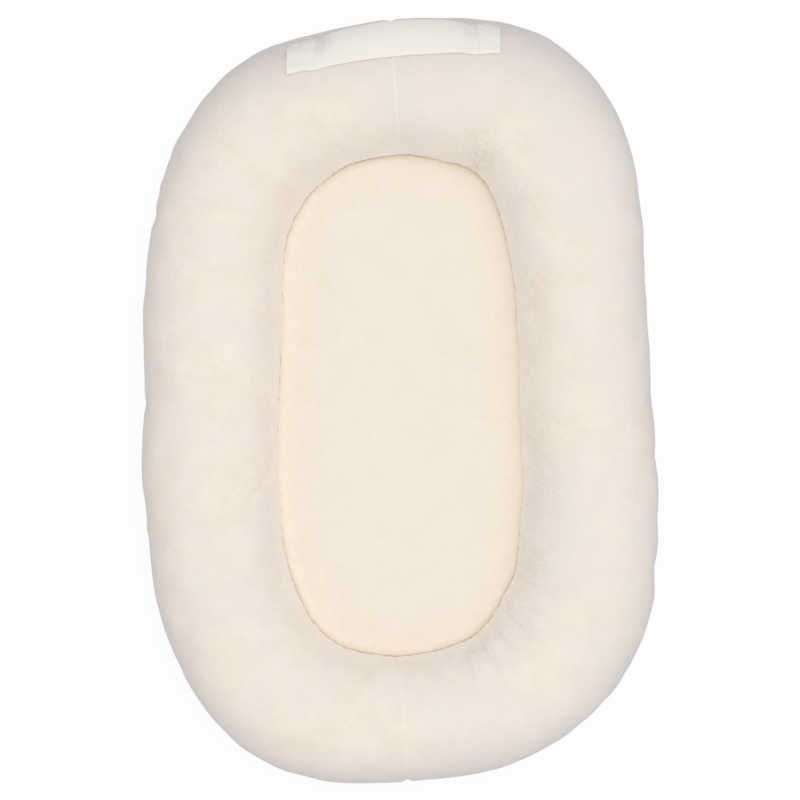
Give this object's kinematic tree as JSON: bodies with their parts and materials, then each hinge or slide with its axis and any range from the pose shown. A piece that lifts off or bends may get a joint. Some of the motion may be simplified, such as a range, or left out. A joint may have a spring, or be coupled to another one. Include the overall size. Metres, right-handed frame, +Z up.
{
  "type": "infant lounger",
  "caption": "Oval padded infant lounger: a stuffed plush bolster round a soft mat, with a webbing carry handle at the head and a lengthwise zip in the base.",
  "frame": {"origin": "floor level, below the middle of the lounger's outline", "axes": "+Z up; +Y along the lounger towards the head end, which has the carry handle; +X to the right seen from above with the head end up"},
  "size_m": [0.5176, 0.768, 0.1299],
  "materials": {
    "plush": "short velvety pile, cream",
    "lining": "thin plain lining cloth",
    "wadding": "loose fibre stuffing",
    "base_cloth": "plain woven cotton cloth",
    "zip_tape": "woven zip tape",
    "zip_resin": "moulded resin teeth",
    "zip_metal": "satin nickel plate",
    "webbing": "twilled cotton webbing, off-white"
  },
  "bodies": {
    "root": {"bolster_cover_left": "plush", "bolster_cover_right": "plush", "bolster_liner": "lining", "bolster_fill": "wadding", "mat_cover": "plush", "mat_liner": "lining", "mat_fill": "wadding", "base_panel_left": "base_cloth", "base_panel_right": "base_cloth", "zip_tape_left": "zip_tape", "zip_tape_right": "zip_tape", "zip_teeth_left": "zip_resin", "zip_teeth_right": "zip_resin", "zip_top_stop_left": "zip_metal", "zip_top_stop_right": "zip_metal", "zip_bottom_stop": "zip_metal", "handle_end_left": "webbing", "handle_end_right": "webbing"},
    "carry_handle": {"handle_strap": "webbing"},
    "zip_slider": {"zip_slider": "zip_metal"},
    "zip_pull": {"zip_pull": "zip_metal"}
  },
  "joints": [
    {"name": "handle_lift", "type": "slide", "parent": "root", "child": "carry_handle", "axis": [0, 0.5736, 0.8192], "range_m": [0, 0.025]},
    {"name": "zip_slide", "type": "slide", "parent": "root", "child": "zip_slider", "axis": [0, -1, 0], "range_m": [0, 0.4065], "deforming": ["zip_teeth_left", "zip_teeth_right"]},
    {"name": "zip_pull_swing", "type": "hinge", "parent": "zip_slider", "child": "zip_pull", "pos_m": [0, 0.20311, 0.00662], "axis": [1, 0, 0], "range_deg": [0, 170]}
  ]
}
